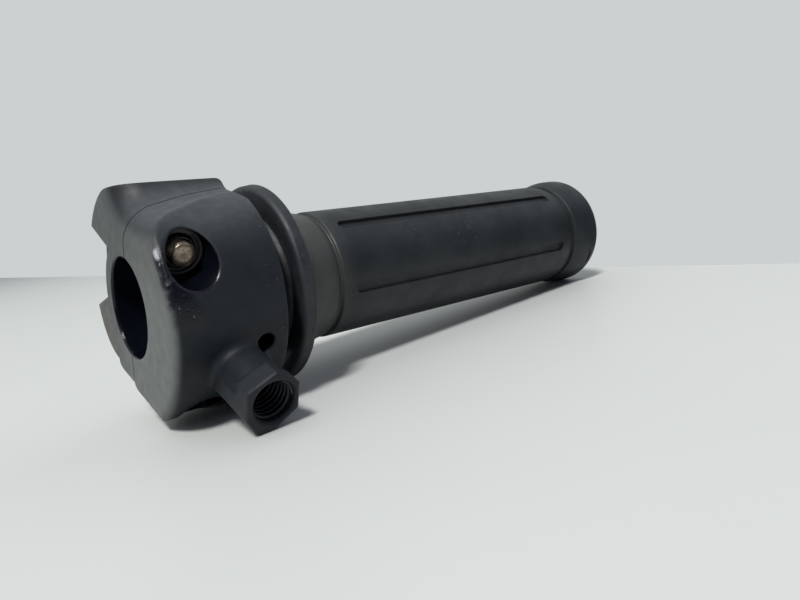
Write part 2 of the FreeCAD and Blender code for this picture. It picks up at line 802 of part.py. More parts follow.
def thread_insert(side):
    """A threaded steel bush set into the front half, standing a little proud of its recess."""
    body = new_body(f"thread_insert_{side}")
    outer_end = f"0 - {side}_recess_floor - insert_stand"
    inner_end = f"0 - {side}_recess_floor + insert_length"
    profile = [
        ("screw_radius + 0.05", inner_end),
        ("screw_radius + 0.05", f"{outer_end} + 0.4"),
        ("screw_radius + 0.35", outer_end),
        ("insert_radius - 0.3", outer_end),
        ("insert_radius", f"{outer_end} + 0.3"),
        ("insert_radius", inner_end),
    ]
    sketch = outline_sketch(body, "profile", "XY_Plane", profile)
    sweep_feature(body, "Revolution", "turned_shape", sketch, "V_Axis")
    place(body, f"{side}_along", f"{side}_height")
    return body


def alignment_dowel(side, height):
    """A plain pin that keeps the two halves in line."""
    body = new_body(f"alignment_dowel_{side}")
    end = "dowel_reach - 0.1"
    profile = [
        ("0", minus(end)),
        ("dowel_radius - 0.3", minus(end)),
        ("dowel_radius", minus(end) + " + 0.3"),
        ("dowel_radius", end + " - 0.3"),
        ("dowel_radius - 0.3", end),
        ("0", end),
    ]
    sketch = outline_sketch(body, "profile", "XY_Plane", profile)
    sweep_feature(body, "Revolution", "turned_shape", sketch, "V_Axis")
    place(body, "dowel_along", height)
    return body


def thrust_washer():
    """A thin plastic ring between the tube's keeper flange and the wall of the housing."""
    body = new_body("thrust_washer")
    circles = [("0", "0", "drum_radius"), ("0", "0", "hub_radius + 0.15")]
    sketch = circle_sketch(body, "circles", "YZ_Plane", circles, offset="keeper_end + 0.1")
    straight_feature(body, "Pad", "ring", sketch, "0.8")
    place(body)
    return body


def build_all():
    fill_sheet()
    pieces = [housing_front(), housing_rear(), throttle_tube(), rubber_grip(), thrust_washer()]
    for side in ("upper", "lower"):
        pieces += [clamp_screw(side), flat_washer(side), spring_washer(side), thread_insert(side)]
    pieces.append(alignment_dowel("upper", "dowel_height"))
    pieces.append(alignment_dowel("lower", "-dowel_height"))
    doc.recompute()
    return pieces


def check(pieces):
    """Stop if any object failed to compute or any piece is not one sound solid."""
    for item in doc.Objects:
        if "Invalid" in item.State or "Error" in item.State:
            raise RuntimeError(f"{item.Name} ({item.Label}) failed: {item.State}")
    for piece in pieces:
        shape = piece.Shape
        if shape.isNull() or not shape.isValid() or len(shape.Solids) != 1:
            raise RuntimeError(f"{piece.Label} is not one valid solid: {len(shape.Solids)} solids")


def write(pieces):
    os.makedirs(OUT, exist_ok=True)
    for piece in pieces:
        piece.Shape.exportStep(f"{OUT}/{piece.Label}.step")
        print(piece.Label, round(piece.Shape.Volume, 1))


all_pieces = build_all()
check(all_pieces)
write(all_pieces)
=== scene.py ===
import json
import math

import bmesh
import bpy
from mathutils import Matrix, Vector


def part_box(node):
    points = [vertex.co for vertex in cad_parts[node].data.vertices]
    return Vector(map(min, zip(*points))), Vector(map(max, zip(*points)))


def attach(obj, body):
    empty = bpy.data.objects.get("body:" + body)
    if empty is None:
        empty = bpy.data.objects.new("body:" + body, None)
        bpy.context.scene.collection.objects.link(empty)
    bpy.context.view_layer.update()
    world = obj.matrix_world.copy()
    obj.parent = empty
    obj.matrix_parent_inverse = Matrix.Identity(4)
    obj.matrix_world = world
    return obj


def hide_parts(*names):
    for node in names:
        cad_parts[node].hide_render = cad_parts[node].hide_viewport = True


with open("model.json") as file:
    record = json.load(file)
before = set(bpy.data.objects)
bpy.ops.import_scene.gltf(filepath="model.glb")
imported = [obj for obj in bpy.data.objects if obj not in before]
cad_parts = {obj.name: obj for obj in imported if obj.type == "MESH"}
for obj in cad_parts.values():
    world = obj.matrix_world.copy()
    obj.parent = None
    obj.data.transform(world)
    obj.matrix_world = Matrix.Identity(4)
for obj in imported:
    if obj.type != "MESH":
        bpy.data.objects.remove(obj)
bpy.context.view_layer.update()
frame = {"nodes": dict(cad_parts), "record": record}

# The CAD frame is in metres, with X along the handlebar and Z up. The housing lies in it rolled about X, so
# places on the housing are given in millimetres in its own upright frame, and at() turns them.
MM = 0.001
LYING_ROLL = math.radians(19.0)
ALONG = Vector((1.0, 0.0, 0.0))
ACROSS = Vector((0.0, math.cos(LYING_ROLL), math.sin(LYING_ROLL)))
UPRIGHT = Vector((0.0, -math.sin(LYING_ROLL), math.cos(LYING_ROLL)))

UPPER_SCREW = {"along": 6.5, "height": 15.3, "seat": 13.2, "length": 30.7}
LOWER_SCREW = {"along": 8.5, "height": -19.2, "seat": 7.6, "length": 20.0}

# The cable socket leans a little more than the housing; this is the middle of its face.
SOCKET_FACE = (13.4, -38.4, -7.9)
SOCKET_ANGLE = LYING_ROLL + math.radians(3.0)
SOCKET_OUT = Vector((0.0, -math.cos(SOCKET_ANGLE), -math.sin(SOCKET_ANGLE)))
SOCKET_UP = Vector((0.0, -math.sin(SOCKET_ANGLE), math.cos(SOCKET_ANGLE)))


def at(along, across, height):
    """A point given in millimetres in the housing's own upright frame."""
    return (ALONG * along + ACROSS * across + UPRIGHT * height) * MM


def in_socket(turn, radius, inwards):
    """A point round the cable socket's axis, so many millimetres in from the socket's face."""
    sideways = ALONG * (radius * math.cos(turn))
    upwards = SOCKET_UP * (radius * math.sin(turn))
    return at(*SOCKET_FACE) + (sideways + upwards - SOCKET_OUT * inwards) * MM


# ---------------------------------------------------------------- node helpers


def plug(tree, source, socket):
    """Feed a socket from another node's output, or give it a plain value."""
    if isinstance(source, bpy.types.NodeSocket):
        tree.links.new(source, socket)
    else:
        socket.default_value = source


def plug_colour(tree, source, socket):
    """The same for a colour, whose plain value has no alpha yet."""
    plug(tree, source if isinstance(source, bpy.types.NodeSocket) else tuple(source) + (1.0,), socket)


def add(tree, kind, inputs, **settings):
    """A new shader node, with its inputs fed by name or by number."""
    node = tree.nodes.new("ShaderNode" + kind)
    for name, setting in settings.items():
        setattr(node, name, setting)
    for key, source in inputs.items():
        plug(tree, source, node.inputs[key])
    return node


def place_on_piece(tree):
    """The shaded point in the piece's own coordinates, which are the frame's, in metres."""
    return add(tree, "TexCoord", {}).outputs["Object"]


def speckle(tree, size_mm, detail=3.0, rough=0.5, stretch=(1.0, 1.0, 1.0), shift=(0.0, 0.0, 0.0)):
    """Noise whose blotches are about size_mm across, stretched where the pattern isn't even."""
    place = {"Vector": place_on_piece(tree), "Scale": stretch, "Location": shift}
    inputs = {
        "Vector": add(tree, "Mapping", place).outputs["Vector"],
        "Scale": 1.0 / (size_mm * MM),
        "Detail": detail,
        "Roughness": rough,
    }
    return add(tree, "TexNoise", inputs).outputs["Fac"]


def spread(tree, value, low, high, start=0.0, end=1.0):
    """Map low..high of a value to start..end, smoothly and held at the ends."""
    inputs = {"Value": value, "From Min": low, "From Max": high, "To Min": start, "To Max": end}
    return add(tree, "MapRange", inputs, interpolation_type="SMOOTHSTEP").outputs["Result"]


def patches(tree, size_mm, detail, rough, low, high, start=0.0, end=1.0, **placing):
    """Noise spread between two of its own values, for blotches with more or less of an edge."""
    return spread(tree, speckle(tree, size_mm, detail, rough, **placing), low, high, start, end)


def calculate(tree, operation, first, second=0.0):
    return add(tree, "Math", {0: first, 1: second}, operation=operation).outputs[0]


def share_of(tree, *masks):
    """Masks multiplied together."""
    product = masks[0]
    for mask in masks[1:]:
        product = calculate(tree, "MULTIPLY", product, mask)
    return product


def strongest(tree, *masks):
    """Whichever of the masks is the greatest."""
    greatest = masks[0]
    for mask in masks[1:]:
        greatest = calculate(tree, "MAXIMUM", greatest, mask)
    return greatest


def blend_colour(tree, share, first, second):
    """From the first colour at share 0 to the second at share 1."""
    node = add(tree, "Mix", {"Factor": share}, data_type="RGBA")
    first_colour, second_colour, result = 6, 7, 2
    plug_colour(tree, first, node.inputs[first_colour])
    plug_colour(tree, second, node.inputs[second_colour])
    return node.outputs[result]


def edge_mask(tree, radius_mm, low, high):
    """1 along sharp edges, where the rounded normal leans away from the true one."""
    rounded = add(tree, "Bevel", {"Radius": radius_mm * MM}, samples=4).outputs["Normal"]
    true = add(tree, "NewGeometry", {}).outputs["Normal"]
    likeness = add(tree, "VectorMath", {0: rounded, 1: true}, operation="DOT_PRODUCT").outputs["Value"]
    return spread(tree, likeness, high, low)


def crease_mask(tree, distance_mm, low=0.35, high=0.9):
    """1 deep in corners and creases."""
    open_sky = add(tree, "AmbientOcclusion", {"Distance": distance_mm * MM}, samples=6).outputs["AO"]
    return spread(tree, open_sky, high, low)


def near(tree, point, radius_mm, soft_mm):
    """1 inside a ball round a point of the frame, fading to 0."""
    ends = {0: place_on_piece(tree), 1: tuple(point)}
    gap = add(tree, "VectorMath", ends, operation="DISTANCE").outputs["Value"]
    return spread(tree, gap, (radius_mm + soft_mm) * MM, radius_mm * MM)


def near_line(tree, point, direction, radius_mm, soft_mm):
    """1 inside a cylinder round a line of the frame, fading to 0."""
    ends = {0: place_on_piece(tree), 1: tuple(point)}
    away = add(tree, "VectorMath", ends, operation="SUBTRACT").outputs["Vector"]
    sides = {0: away, 1: tuple(direction)}
    cross = add(tree, "VectorMath", sides, operation="CROSS_PRODUCT").outputs["Vector"]
    gap = add(tree, "VectorMath", {0: cross}, operation="LENGTH").outputs["Value"]
    return spread(tree, gap, (radius_mm + soft_mm) * MM, radius_mm * MM)


def along_bar(tree):
    """How far along the handlebar a shaded point is, in metres."""
    return add(tree, "SeparateXYZ", {"Vector": place_on_piece(tree)}).outputs["X"]


def beside(tree, distance, half_width_mm, soft_mm):
    """1 where a signed distance is within half_width_mm of zero, fading to 0 on both sides."""
    gap = calculate(tree, "ABSOLUTE", distance)
    return spread(tree, gap, (half_width_mm + soft_mm) * MM, half_width_mm * MM)


def across_split(tree):
    """How far a shaded point is from the plane where the housing's halves meet, in metres."""
    sides = {0: place_on_piece(tree), 1: tuple(ACROSS)}
    return add(tree, "VectorMath", sides, operation="DOT_PRODUCT").outputs["Value"]


def facing_up(tree):
    """1 where the surface looks straight up, 0 where it stands upright."""
    normal = add(tree, "NewGeometry", {}).outputs["Normal"]
    return add(tree, "SeparateXYZ", {"Vector": normal}).outputs["Z"]


def soft_edges(tree, radius_mm):
    """The surface's direction with every edge rounded off by so much."""
    return add(tree, "Bevel", {"Radius": radius_mm * MM}, samples=8).outputs["Normal"]


def relief(tree, height, strength, depth_mm, below=None):
    """The surface's direction with a bump pattern laid over the one below."""
    inputs = {"Height": height, "Strength": strength, "Distance": depth_mm * MM}
    if below is not None:
        inputs["Normal"] = below
    return add(tree, "Bump", inputs).outputs["Normal"]


def new_material(name):
    material = bpy.data.materials.new(name)
    material.use_nodes = True
    tree = material.node_tree
    return material, tree, tree.nodes["Principled BSDF"]


def finish_material(tree, shader, colour, rough, normal, metallic=0.0, specular=0.5):
    plug_colour(tree, colour, shader.inputs["Base Color"])
    plug(tree, rough, shader.inputs["Roughness"])
    plug(tree, normal, shader.inputs["Normal"])
    plug(tree, metallic, shader.inputs["Metallic"])
    plug(tree, specular, shader.inputs["Specular IOR Level"])


# ---------------------------------------------------------------- the housing's paint

PAINT_DARK = (0.006, 0.010, 0.014)
PAINT_LIGHT = (0.010, 0.014, 0.019)
# Painted light: the end face's paler colour stands in for the key light falling on it.
END_FACE_PAINTED_LIGHT = (0.150, 0.163, 0.158)
# Dust and painted light: a pale colour on the top that stands for both dust and the light the top catches.
DUST_AND_PAINTED_TOP_LIGHT = (0.115, 0.130, 0.140)
RUBBED_PAINT = (0.16, 0.165, 0.165)
RUSTY_LIP = (0.15, 0.115, 0.085)
BARE_CASTING = (0.42, 0.42, 0.40)
GREASE = (0.003, 0.004, 0.008)
# Painted highlight colour for the glints in the scuffed patch.
PAINTED_GLINT = (0.55, 0.57, 0.62)
SEAM_DARK = (0.003, 0.003, 0.004)

# Holes with grease on their walls: a place on the axis, its direction, a radius that takes in the wall,
# and a soft edge, in millimetres.
GREASY_HOLES = (
    ((0.0, 0.0, 0.0), ALONG, 11.15, 0.2),
    ((18.75, 0.0, -2.1), ACROSS, 1.9, 0.15),
    ((UPPER_SCREW["along"], 0.0, UPPER_SCREW["height"]), ACROSS, 5.0, 0.25),
    ((LOWER_SCREW["along"], 0.0, LOWER_SCREW["height"]), ACROSS, 5.0, 0.25),
)
# The wet scuffed patch beside the upper screw, as a row of balls: middle and radius, in millimetres.
SCUFFED = (
    ((0.8, -18.9, 16.0), 1.5),
    ((1.4, -21.0, 13.2), 1.6),
    ((2.4, -22.8, 9.6), 1.6),
    ((3.6, -23.9, 6.2), 1.9),
)
SCUFF_SOFT_EDGE = 2.0


def painted_light_and_dust(tree, colour):
    """Painted light: the inboard end face painted paler where the key light falls on it, most of all
    towards the socket; and dust, partly painted light, on whatever looks up near the top.
    """
    inboard = spread(tree, along_bar(tree), 1.6 * MM, 0.1 * MM)
    cloudy = patches(tree, 2.5, 5.0, 0.7, 0.3, 0.7, 0.80, 1.0)
    by_socket = spread(tree, near(tree, at(0.0, -15.0, -9.0), 10.0, 24.0), 0.0, 1.0, 0.5, 0.95)
    # Painted light: the inboard end face painted paler, as if lit.
    colour = blend_colour(tree, share_of(tree, inboard, cloudy, by_socket), colour, END_FACE_PAINTED_LIGHT)
    # Dust on faces that look up near the top, painted paler than dust alone to stand in for the light
    # falling there.
    looking_up = spread(tree, facing_up(tree), 0.2, 1.0)
    dust_and_light_patches = patches(tree, 2.2, 5.0, 0.7, 0.3, 0.75, 0.6, 1.0)
    on_top = near(tree, at(12.0, 0.0, 26.0), 13.0, 12.0)
    return blend_colour(tree, share_of(tree, looking_up, dust_and_light_patches, on_top, 0.7), colour, DUST_AND_PAINTED_TOP_LIGHT)


def worn_paint(tree, colour):
    """Rubbed edges, rust by the lip, and pale nicks along the outboard rim and at its corner."""
    rubbed = share_of(tree, edge_mask(tree, 0.45, 0.6, 0.97), patches(tree, 0.9, 4.0, 0.7, 0.52, 0.74))
    colour = blend_colour(tree, share_of(tree, rubbed, 0.55), colour, RUBBED_PAINT)
    by_lip = near(tree, at(0.5, 17.5, -12.5), 4.0, 6.0)
    rust = share_of(tree, by_lip, patches(tree, 1.3, 5.0, 0.7, 0.42, 0.62))
    colour = blend_colour(tree, share_of(tree, rust, 0.8), colour, RUSTY_LIP)
    by_rim = spread(tree, along_bar(tree), 20.0 * MM, 23.0 * MM)
    flecks = patches(tree, 0.45, 3.0, 0.8, 0.69, 0.74, stretch=(0.5, 1.0, 1.0), shift=(0.004, 0.0, 0.0))
    by_corner = near(tree, at(24.3, -21.8, 9.5), 2.5, 4.0)
    nicks = patches(tree, 0.5, 3.0, 0.8, 0.67, 0.71, stretch=(0.7, 1.0, 1.0), shift=(0.0, 0.003, 0.0))
    bare = strongest(tree, share_of(tree, by_rim, flecks), share_of(tree, by_corner, nicks))
    return blend_colour(tree, share_of(tree, bare, 0.85), colour, BARE_CASTING)


def painted_glints(tree, scuff):
    """Painted highlights: bright points in the wet scuffed patch, and one painted highlight streak on the
    inboard edge above it.
    """
    points = share_of(tree, scuff, patches(tree, 0.5, 4.0, 0.8, 0.645, 0.69, stretch=(1.0, 1.0, 0.5)))
    from_edge = calculate(tree, "SUBTRACT", along_bar(tree), 0.45 * MM)
    above = near(tree, at(0.3, -17.6, 17.2), 0.7, 0.9)
    return strongest(tree, points, share_of(tree, above, beside(tree, from_edge, 0.12, 0.35)))


def cast_paint():
    """Satin black paint on a die casting, with its grease, scuffs, dust and worn edges, painted light on
    the end face and top, and painted glints.
    """
    material, tree, shader = new_material("cast_black")
    colour = blend_colour(tree, patches(tree, 9.0, 4.0, 0.6, 0.3, 0.7), PAINT_DARK, PAINT_LIGHT)
    colour = painted_light_and_dust(tree, colour)
    colour = worn_paint(tree, colour)

    greasy = [near_line(tree, at(*place), way, radius, soft) for place, way, radius, soft in GREASY_HOLES]
    scuff = strongest(tree, *[near(tree, at(*place), radius, SCUFF_SOFT_EDGE) for place, radius in SCUFFED])
    scuff = share_of(tree, scuff, patches(tree, 2.4, 4.0, 0.7, 0.34, 0.50))
    wet = strongest(tree, *greasy, scuff)
    colour = blend_colour(tree, wet, colour, GREASE)
    # Painted highlights: glints in the scuff and a bright streak on the edge above it.
    colour = blend_colour(tree, share_of(tree, painted_glints(tree, scuff), 0.8), colour, PAINTED_GLINT)

    seam = beside(tree, across_split(tree), 0.10, 0.18)
    colour = blend_colour(tree, share_of(tree, seam, 0.85), colour, SEAM_DARK)

    rough = patches(tree, 3.0, 4.0, 0.6, 0.3, 0.7, 0.50, 0.62)
    rough = calculate(tree, "SUBTRACT", rough, share_of(tree, wet, 0.36))
    normal = relief(tree, speckle(tree, 0.35, 2.0, 0.6), 0.22, 0.03, soft_edges(tree, 1.1))
    normal = relief(tree, share_of(tree, scuff, speckle(tree, 0.7, 5.0, 0.75)), 0.6, 0.16, normal)
    normal = relief(tree, seam, 0.6, -0.15, normal)
    finish_material(tree, shader, colour, rough, normal, specular=0.38)
    return material


# ---------------------------------------------------------------- the other materials

TUBE_DARK = (0.013, 0.016, 0.022)
TUBE_LIGHT = (0.022, 0.026, 0.032)
TUBE_SCRATCH = (0.2, 0.2, 0.21)
TUBE_DUST = (0.09, 0.085, 0.075)
# Painted shade: near black for the tube inside the shaded gap next to the housing.
TUBE_GAP_SHADE = (0.002, 0.002, 0.003)

RUBBER_DARK = (0.011, 0.014, 0.016)
RUBBER_LIGHT = (0.019, 0.024, 0.026)
RUBBER_NECK = (0.066, 0.065, 0.062)
RUBBER_DUST = (0.11, 0.10, 0.085)
RUBBER_SCRATCH = (0.16, 0.16, 0.16)
RUBBER_MARK = (0.13, 0.14, 0.15)
# Two handling marks on the grip: place in the lying frame, radius and soft edge, in millimetres.
GRIP_MARKS = (((67.5, -15.3, 4.8), 3.0, 5.0), ((87.5, -15.3, 4.6), 3.5, 6.0))

NYLON_DARK = (0.55, 0.52, 0.42)
NYLON_LIGHT = (0.68, 0.66, 0.58)
TARNISH_LIGHT = (0.36, 0.30, 0.22)
TARNISH_DARK = (0.20, 0.16, 0.12)
TARNISH_SPOT = (0.12, 0.08, 0.05)
TARNISH_EDGE = (0.72, 0.70, 0.66)
ZINC_DARK = (0.42, 0.42, 0.40)
ZINC_LIGHT = (0.56, 0.55, 0.52)
BORE_DARK = (0.010, 0.013, 0.018)
BORE_LIGHT = (0.022, 0.027, 0.034)
BORE_CREST = (0.20, 0.21, 0.23)
INSERT_DARK = (0.012, 0.012, 0.013)
INSERT_LIGHT = (0.035, 0.032, 0.030)


def moulded_plastic():
    """Smooth black plastic of the throttle tube and its flange, with painted shade where the tube lies in
    the gap by the housing.
    """
    material, tree, shader = new_material("moulded_black")
    colour = blend_colour(tree, patches(tree, 6.0, 3.0, 0.5, 0.3, 0.7), TUBE_DARK, TUBE_LIGHT)
    scratches = patches(tree, 0.4, 3.0, 0.6, 0.66, 0.72, stretch=(0.15, 1.0, 1.0))
    colour = blend_colour(tree, share_of(tree, scratches, 0.25), colour, TUBE_SCRATCH)
    dust = share_of(tree, crease_mask(tree, 2.0), patches(tree, 1.0, 4.0, 0.7, 0.35, 0.7))
    colour = blend_colour(tree, share_of(tree, dust, 0.35), colour, TUBE_DUST)
    # Painted shade: the tube is painted almost black close to the housing, where the gap lies in shade.
    gap = spread(tree, along_bar(tree), 27.2 * MM, 26.0 * MM)
    colour = blend_colour(tree, share_of(tree, gap, 0.9), colour, TUBE_GAP_SHADE)
    rough = patches(tree, 2.0, 4.0, 0.6, 0.3, 0.7, 0.46, 0.60)
    normal = relief(tree, speckle(tree, 0.5, 2.0, 0.5), 0.12, 0.02, soft_edges(tree, 0.6))
    finish_material(tree, shader, colour, rough, normal)
    return material


def grip_rubber():
    """Fine matt rubber, browner and dustier towards the flange."""
    material, tree, shader = new_material("grip_rubber")
    colour = blend_colour(tree, patches(tree, 14.0, 5.0, 0.6, 0.3, 0.7), RUBBER_DARK, RUBBER_LIGHT)
    neck = spread(tree, along_bar(tree), 50.0 * MM, 38.0 * MM)
    colour = blend_colour(tree, share_of(tree, neck, 0.8), colour, RUBBER_NECK)
    dust = share_of(tree, crease_mask(tree, 1.6), patches(tree, 1.2, 5.0, 0.7, 0.35, 0.7))
    colour = blend_colour(tree, share_of(tree, dust, 0.3), colour, RUBBER_DUST)
    scratches = patches(tree, 1.4, 6.0, 0.75, 0.62, 0.72, stretch=(0.12, 1.0, 1.0))
    colour = blend_colour(tree, share_of(tree, scratches, 0.18), colour, RUBBER_SCRATCH)
    handled = [near(tree, Vector(place) * MM, radius, soft) for place, radius, soft in GRIP_MARKS]
    marks = patches(tree, 1.1, 5.0, 0.75, 0.60, 0.68, stretch=(0.6, 1.0, 1.0))
    marks = share_of(tree, strongest(tree, *handled), marks)
    colour = blend_colour(tree, share_of(tree, marks, 0.5), colour, RUBBER_MARK)
    rough = patches(tree, 5.0, 5.0, 0.6, 0.3, 0.7, 0.44, 0.60)
    normal = relief(tree, speckle(tree, 0.28, 2.0, 0.6), 0.25, 0.03, soft_edges(tree, 0.35))
    normal = relief(tree, speckle(tree, 7.0, 3.0, 0.5), 0.2, 0.10, normal)
    finish_material(tree, shader, colour, rough, normal, specular=0.42)
    return material


def nylon():
    """The thrust washer's off-white plastic."""
    material, tree, shader = new_material("nylon")
    clouds = speckle(tree, 3.0, 3.0, 0.5)
    colour = blend_colour(tree, clouds, NYLON_DARK, NYLON_LIGHT)
    normal = relief(tree, speckle(tree, 0.4, 2.0, 0.5), 0.15, 0.02)
    finish_material(tree, shader, colour, spread(tree, clouds, 0.2, 0.8, 0.35, 0.5), normal)
    return material


def tarnished_steel():
    """The clamp screws: steel whose plating has gone brown and dull."""
    material, tree, shader = new_material("screw_steel")
    clouds = speckle(tree, 1.6, 5.0, 0.7)
    colour = blend_colour(tree, spread(tree, clouds, 0.35, 0.65), TARNISH_LIGHT, TARNISH_DARK)
    colour = blend_colour(tree, patches(tree, 0.6, 4.0, 0.7, 0.55, 0.7), colour, TARNISH_SPOT)
    bright = share_of(tree, edge_mask(tree, 0.12, 0.75, 0.98), 0.6)
    colour = blend_colour(tree, bright, colour, TARNISH_EDGE)
    normal = relief(tree, speckle(tree, 0.25, 4.0, 0.7), 0.35, 0.04)
    finish_material(tree, shader, colour, spread(tree, clouds, 0.3, 0.7, 0.28, 0.5), normal, metallic=0.85)
    return material


def zinc_steel():
    """The washers and dowels: steel with a clean zinc plating."""
    material, tree, shader = new_material("zinc_steel")
    clouds = speckle(tree, 1.2, 4.0, 0.6)
    colour = blend_colour(tree, spread(tree, clouds, 0.3, 0.7), ZINC_DARK, ZINC_LIGHT)
    normal = relief(tree, speckle(tree, 0.2, 3.0, 0.6), 0.2, 0.02)
    finish_material(tree, shader, colour, spread(tree, clouds, 0.3, 0.7, 0.25, 0.42), normal, metallic=0.95)
    return material


def threaded_paint():
    """The socket's thread: paint rubbed through to metal on the crests, grease between them."""
    material, tree, shader = new_material("threaded_bore")
    clouds = speckle(tree, 0.9, 4.0, 0.7)
    colour = blend_colour(tree, spread(tree, clouds, 0.35, 0.65), BORE_DARK, BORE_LIGHT)
    crest = share_of(tree, edge_mask(tree, 0.12, 0.7, 0.97), patches(tree, 0.6, 3.0, 0.6, 0.4, 0.6))
    colour = blend_colour(tree, share_of(tree, crest, 0.45), colour, BORE_CREST)
    normal = relief(tree, speckle(tree, 0.3, 3.0, 0.6), 0.3, 0.03)
    finish_material(tree, shader, colour, spread(tree, clouds, 0.3, 0.7, 0.28, 0.45), normal, metallic=0.2)
    return material


def oily_steel():
    """The thread inserts: blackened steel, still wet with grease."""
    material, tree, shader = new_material("insert_steel")
    clouds = speckle(tree, 0.9, 4.0, 0.7)
    colour = blend_colour(tree, spread(tree, clouds, 0.35, 0.65), INSERT_DARK, INSERT_LIGHT)
    normal = relief(tree, speckle(tree, 0.5, 4.0, 0.7), 0.5, 0.06)
    finish_material(tree, shader, colour, spread(tree, clouds, 0.3, 0.7, 0.12, 0.35), normal, metallic=0.3)
    return material


# ---------------------------------------------------------------- threads and screws

# Sizes of the clamp screws in millimetres, and how finely they are meshed.
RING_STEPS = 48
SCREW_PITCH = 0.8
SCREW_ROOT = 2.02
SCREW_CREST = 2.48
SCREW_RUNOUT = 0.4
THREAD_FROM_TIP = 0.35
THREAD_FROM_HEAD = 1.2
ROWS_PER_PITCH = 10
WASHERS_THICK = 2.0
HEAD_RADIUS = 4.1
HEAD_SIDE = 1.7
HEAD_ROUND = 1.6
HEAD_ROUND_STEPS = 8
# The cross recess: its floor above the head's underside, how far its cutter reaches up from there, the half
# length and half width of an arm, and what share of those it has at the floor and at the cutter's top.
CROSS_FLOOR = 0.7
CROSS_DEEP = 4.0
CROSS_LONG = 2.3
CROSS_THIN = 0.5
CROSS_FLOOR_SHARE = 0.55
CROSS_TOP_SHARE = 1.25
# Radius of each plain ring, and its height above the screw's tip or above the underside of its head.
TIP_RINGS = ((0.02, 0.04), (1.2, 0.0), (1.75, 0.0), (2.05, 0.22))
NECK_RINGS = ((SCREW_CREST, -0.4), (2.5, 0.0), (3.9, 0.0), (HEAD_RADIUS, 0.2))

SOCKET_PITCH = 1.25
SOCKET_STEPS = 56
# Where the ridge's middle starts and ends, in from the socket's face, and its section: radius and shift.
SOCKET_FIRST = 1.25
SOCKET_LAST = 9.6
RIDGE_SECTION = ((4.36, -0.54), (3.82, -0.07), (3.82, 0.07), (4.36, 0.54))


def put_in_scene(name, data):
    made = bpy.data.objects.new(name, data)
    bpy.context.scene.collection.objects.link(made)
    return made


def skin_rings(shape, rings):
    """Join rings of points into a tube, closed with a face at either end."""
    rows = [[shape.verts.new(point) for point in ring] for ring in rings]
    for first, second in zip(rows, rows[1:]):
        for index in range(len(first)):
            after = (index + 1) % len(first)
            shape.faces.new((first[index], first[after], second[after], second[index]))
    shape.faces.new(rows[0])
    shape.faces.new(list(reversed(rows[-1])))


def tube_object(name, tubes):
    """An object made of closed tubes, each given as its rings of points."""
    shape = bmesh.new()
    for rings in tubes:
        skin_rings(shape, rings)
    bmesh.ops.recalc_face_normals(shape, faces=shape.faces)
    mesh = bpy.data.meshes.new(name)
    shape.to_mesh(mesh)
    shape.free()
    return put_in_scene(name, mesh)


def housing_piece(name, rings, material):
    """A smooth piece of one tube that stays with the housing."""
    piece = tube_object(name, [rings])
    for face in piece.data.polygons:
        face.use_smooth = True
    piece.data.materials.append(material)
    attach(piece, "housing")
    return piece


def thread_height(share):
    """How high a thread stands, 0 at its root and 1 at its crest, along one pitch."""
    return min(1.0, max(0.0, 1.45 - abs(share * 2.0 - 1.0) * 1.9))


def thread_rings(start, end, point_at):
    """Rings of a screw's thread, which fades into a plain cylinder at both ends."""
    count = max(2, round((end - start) / SCREW_PITCH * ROWS_PER_PITCH))
    rings = []
    for row in range(count + 1):
        along = start + (end - start) * row / count
        fade = min(1.0, (along - start) / SCREW_RUNOUT, (end - along) / SCREW_RUNOUT)
        ring = []
        for step in range(RING_STEPS):
            turn = step / RING_STEPS
            height = thread_height((along / SCREW_PITCH - turn) % 1.0)
            radius = SCREW_ROOT + (SCREW_CREST - SCREW_ROOT) * (1.0 - fade + fade * height)
            ring.append(point_at(radius, turn * math.tau, along))
        rings.append(ring)
    return rings


def screw_piece(name, screw, material):
    """A clamp screw with a real thread, a domed head and a cross recess."""
    under = screw["seat"] + WASHERS_THICK
    tip = under - screw["length"]

    def point_at(radius, turn, across):
        along = screw["along"] + radius * math.cos(turn)
        height = screw["height"] + radius * math.sin(turn)
        return at(along, across, height)

    def plain_ring(radius, across):
        return [point_at(radius, step / RING_STEPS * math.tau, across) for step in range(RING_STEPS)]

    rings = [plain_ring(radius, tip + above) for radius, above in TIP_RINGS]
    rings += thread_rings(tip + THREAD_FROM_TIP, under - THREAD_FROM_HEAD, point_at)
    rings += [plain_ring(radius, under + above) for radius, above in NECK_RINGS]
    for step in range(HEAD_ROUND_STEPS + 1):
        lean = step / HEAD_ROUND_STEPS * math.pi / 2
        inwards = HEAD_ROUND * (1.0 - math.cos(lean))
        rings.append(plain_ring(HEAD_RADIUS - inwards, under + HEAD_SIDE + HEAD_ROUND * math.sin(lean)))

    piece = housing_piece(name + "_threaded", rings, material)
    carve(piece, cross_cutter(name, screw, under + CROSS_FLOOR))
    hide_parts(name)


def cross_cutter(name, screw, floor):
    """A tapering cross, narrow at the recess's floor and wide at the top of the head."""
    arms = []
    for wide, tall in ((CROSS_LONG, CROSS_THIN), (CROSS_THIN, CROSS_LONG)):
        rings = []
        for across, grow in ((floor, CROSS_FLOOR_SHARE), (floor + CROSS_DEEP, CROSS_TOP_SHARE)):
            a, b = wide * grow, tall * grow
            corners = ((-a, -b), (a, -b), (a, b), (-a, b))
            rings.append([at(screw["along"] + x, across, screw["height"] + y) for x, y in corners])
        arms.append(rings)
    return tube_object(name + "_cross", arms)


